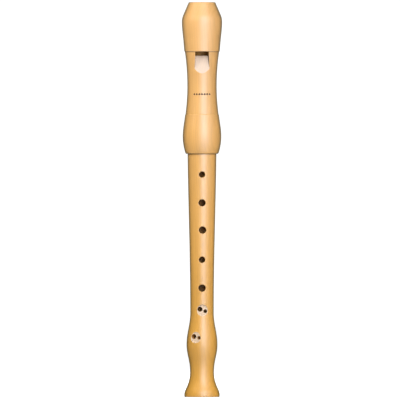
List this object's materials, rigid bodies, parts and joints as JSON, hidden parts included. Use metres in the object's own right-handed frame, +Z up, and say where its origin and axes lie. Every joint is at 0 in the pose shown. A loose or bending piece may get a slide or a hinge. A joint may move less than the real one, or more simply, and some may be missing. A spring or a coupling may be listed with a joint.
{
  "type": "soprano recorder",
  "caption": "Wooden duct flute in two joints: a beaked head with a windway block and a labium window, and a tapering body with finger holes and a flared foot.",
  "frame": {"origin": "centre of the foot's end face, on the bore's axis", "axes": "+Z up the bore from the foot to the beak; the window and finger holes face -Y; +X is the right of someone who faces the finger holes"},
  "size_m": [0.033, 0.0323, 0.325],
  "materials": {
    "pear_wood": "satin lacquer",
    "cedar": "raw, close-grained",
    "cork": "sanded and greased"
  },
  "bodies": {
    "lower_joint": {"body_joint": "pear_wood"},
    "cork_sleeve": {"tenon_cork": "cork"},
    "head": {"head_joint": "pear_wood"},
    "block": {"block": "cedar"}
  },
  "joints": [
    {"name": "head_twist", "type": "hinge", "parent": "lower_joint", "child": "cork_sleeve", "pos_m": [0, 0, 0.2], "axis": [0, 0, 1], "continuous": true},
    {"name": "head_pull", "type": "slide", "parent": "cork_sleeve", "child": "head", "axis": [0, 0, 1], "range_m": [0, 0.024]},
    {"name": "block_slide", "type": "slide", "parent": "head", "child": "block", "axis": [0, 0, 1], "range_m": [0, 0.046]}
  ]
}
